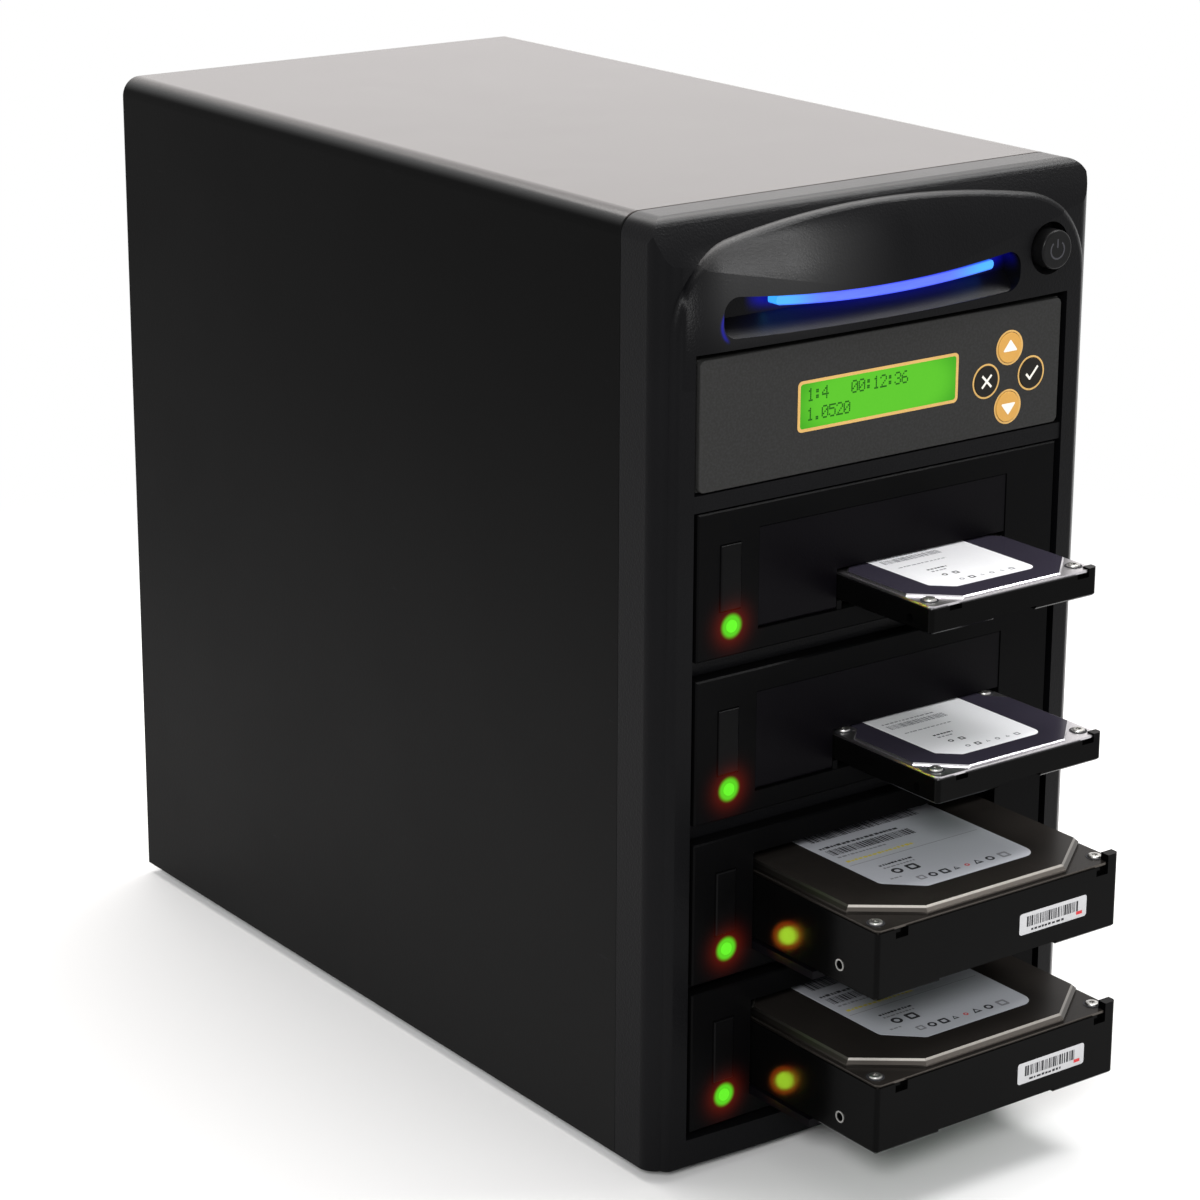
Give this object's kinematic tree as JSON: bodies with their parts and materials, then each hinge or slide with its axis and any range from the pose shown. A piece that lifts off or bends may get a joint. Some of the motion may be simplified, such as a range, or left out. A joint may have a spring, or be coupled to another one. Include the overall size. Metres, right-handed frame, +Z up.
{
  "type": "hard drive duplicator",
  "caption": "Upright duplicator tower with lit control panel, stacked front-loading drive racks with drop-down doors and release keys, drives part way in, and a rear power supply.",
  "frame": {"origin": "bottom centre of the whole object's box, drives as they stand out of the front", "axes": "+Z up, +X to the right seen from the front, front towards -Y"},
  "size_m": [0.177, 0.3878, 0.3124],
  "materials": {
    "cover_paint": "satin black paint",
    "bezel_plastic": "satin, fine moulded grain",
    "panel_plastic": "matt dark grey",
    "rack_plastic": "fine moulded grain",
    "door_plastic": "fine moulded grain",
    "release_plastic": "semi-gloss",
    "zinc_steel": "zinc-coated sheet",
    "supply_steel": "zinc-coated sheet",
    "display_glass": "lit green display window",
    "circuit_green": "solder mask",
    "key_gold": "gold-coloured",
    "key_black": "black",
    "light_blue": "lit blue light bar",
    "lens_green": "lit green lens",
    "button_plastic": "black",
    "switch_plastic": "black",
    "fan_plastic": "black",
    "guard_steel": "bright wire",
    "screw_steel": "bright steel",
    "drive_black": "black casting",
    "lid_small": "dark satin",
    "lid_large": "dark satin",
    "rubber_black": "black rubber"
  },
  "bodies": {
    "case": {"backplanes": "circuit_green", "base_pan": "zinc_steel", "bay_cage": "zinc_steel", "case_screws": "screw_steel", "controller_board": "circuit_green", "display_module": "circuit_green", "display_window": "display_glass", "fan_frames": "fan_plastic", "fan_guards": "guard_steel", "feet": "rubber_black", "front_bezel": "bezel_plastic", "light_bar": "light_blue", "light_board": "circuit_green", "outer_cover": "cover_paint", "panel_fascia": "panel_plastic", "power_switch": "switch_plastic", "rack_bezel_1": "rack_plastic", "rack_bezel_2": "rack_plastic", "rack_bezel_3": "rack_plastic", "rack_bezel_4": "rack_plastic", "rack_housing_1": "zinc_steel", "rack_housing_2": "zinc_steel", "rack_housing_3": "zinc_steel", "rack_housing_4": "zinc_steel", "rear_panel": "zinc_steel", "status_lenses": "lens_green", "supply_case": "supply_steel", "supply_inlet": "switch_plastic"},
    "drive_1": {"drive_base_1": "drive_black", "drive_lid_1": "lid_small", "drive_screws_1": "screw_steel", "drive_board_1": "circuit_green"},
    "release_key_1": {"release_key_1": "release_plastic"},
    "door_1": {"door_1": "door_plastic"},
    "drive_2": {"drive_base_2": "drive_black", "drive_lid_2": "lid_small", "drive_screws_2": "screw_steel", "drive_board_2": "circuit_green"},
    "release_key_2": {"release_key_2": "release_plastic"},
    "door_2": {"door_2": "door_plastic"},
    "drive_3": {"drive_base_3": "drive_black", "drive_lid_3": "lid_large", "drive_screws_3": "screw_steel", "drive_board_3": "circuit_green"},
    "release_key_3": {"release_key_3": "release_plastic"},
    "door_3": {"door_3": "door_plastic"},
    "drive_4": {"drive_base_4": "drive_black", "drive_lid_4": "lid_large", "drive_screws_4": "screw_steel", "drive_board_4": "circuit_green"},
    "release_key_4": {"release_key_4": "release_plastic"},
    "door_4": {"door_4": "door_plastic"},
    "up_key": {"up_key": "key_gold"},
    "down_key": {"down_key": "key_gold"},
    "escape_key": {"escape_key": "key_black"},
    "confirm_key": {"confirm_key": "key_black"},
    "power_button": {"power_button": "button_plastic"},
    "supply_rocker": {"supply_rocker": "switch_plastic"},
    "supply_fan_rotor": {"supply_fan_rotor": "fan_plastic"},
    "case_fan_rotor": {"case_fan_rotor": "fan_plastic"}
  },
  "joints": [
    {"name": "drive_slide_1", "type": "slide", "parent": "case", "child": "drive_1", "axis": [0, 1, 0], "range_m": [-0.04685, 0.09615]},
    {"name": "release_press_1", "type": "slide", "parent": "case", "child": "release_key_1", "axis": [0, 1, 0], "range_m": [0, 0.003], "stiffness_N_per_m": 400, "springref_m": -0.002},
    {"name": "door_hinge_1", "type": "hinge", "parent": "case", "child": "door_1", "pos_m": [0, -0.1313, 0.1818], "axis": [1, 0, 0], "range_deg": [0, 14], "stiffness_Nm_per_rad": 0.02, "springref_deg": -17.19},
    {"name": "drive_slide_2", "type": "slide", "parent": "case", "child": "drive_2", "axis": [0, 1, 0], "range_m": [-0.04135, 0.10165]},
    {"name": "release_press_2", "type": "slide", "parent": "case", "child": "release_key_2", "axis": [0, 1, 0], "range_m": [0, 0.003], "stiffness_N_per_m": 400, "springref_m": -0.002},
    {"name": "door_hinge_2", "type": "hinge", "parent": "case", "child": "door_2", "pos_m": [0, -0.1313, 0.1281], "axis": [1, 0, 0], "range_deg": [0, 14], "stiffness_Nm_per_rad": 0.02, "springref_deg": -17.19},
    {"name": "drive_slide_3", "type": "slide", "parent": "case", "child": "drive_3", "axis": [0, 1, 0], "range_m": [-0.078, 0.065]},
    {"name": "release_press_3", "type": "slide", "parent": "case", "child": "release_key_3", "axis": [0, 1, 0], "range_m": [0, 0.003], "stiffness_N_per_m": 400, "springref_m": -0.002},
    {"name": "door_hinge_3", "type": "hinge", "parent": "case", "child": "door_3", "pos_m": [0, -0.1313, 0.0742], "axis": [1, 0, 0], "range_deg": [0, 8], "stiffness_Nm_per_rad": 0.02, "springref_deg": -17.19},
    {"name": "drive_slide_4", "type": "slide", "parent": "case", "child": "drive_4", "axis": [0, 1, 0], "range_m": [-0.076, 0.067]},
    {"name": "release_press_4", "type": "slide", "parent": "case", "child": "release_key_4", "axis": [0, 1, 0], "range_m": [0, 0.003], "stiffness_N_per_m": 400, "springref_m": -0.002},
    {"name": "door_hinge_4", "type": "hinge", "parent": "case", "child": "door_4", "pos_m": [0, -0.1313, 0.0235], "axis": [1, 0, 0], "range_deg": [0, 8], "stiffness_Nm_per_rad": 0.02, "springref_deg": -17.19},
    {"name": "up_press", "type": "slide", "parent": "case", "child": "up_key", "axis": [0, 1, 0], "range_m": [0, 0.0006], "stiffness_N_per_m": 1500, "springref_m": -0.0004},
    {"name": "down_press", "type": "slide", "parent": "case", "child": "down_key", "axis": [0, 1, 0], "range_m": [0, 0.0006], "stiffness_N_per_m": 1500, "springref_m": -0.0004},
    {"name": "escape_press", "type": "slide", "parent": "case", "child": "escape_key", "axis": [0, 1, 0], "range_m": [0, 0.0006], "stiffness_N_per_m": 1500, "springref_m": -0.0004},
    {"name": "confirm_press", "type": "slide", "parent": "case", "child": "confirm_key", "axis": [0, 1, 0], "range_m": [0, 0.0006], "stiffness_N_per_m": 1500, "springref_m": -0.0004},
    {"name": "power_press", "type": "slide", "parent": "case", "child": "power_button", "axis": [0, 1, 0], "range_m": [0, 0.0025], "stiffness_N_per_m": 500, "springref_m": -0.001},
    {"name": "rocker_tilt", "type": "hinge", "parent": "case", "child": "supply_rocker", "pos_m": [0.045, 0.1879, 0.2744], "axis": [1, 0, 0], "range_deg": [-16, 0]},
    {"name": "supply_fan_spin", "type": "hinge", "parent": "case", "child": "supply_fan_rotor", "pos_m": [-0.029, 0.1764, 0.2624], "axis": [0, 1, 0], "continuous": true},
    {"name": "case_fan_spin", "type": "hinge", "parent": "case", "child": "case_fan_rotor", "pos_m": [0, 0.1774, 0.105], "axis": [0, 1, 0], "continuous": true}
  ]
}
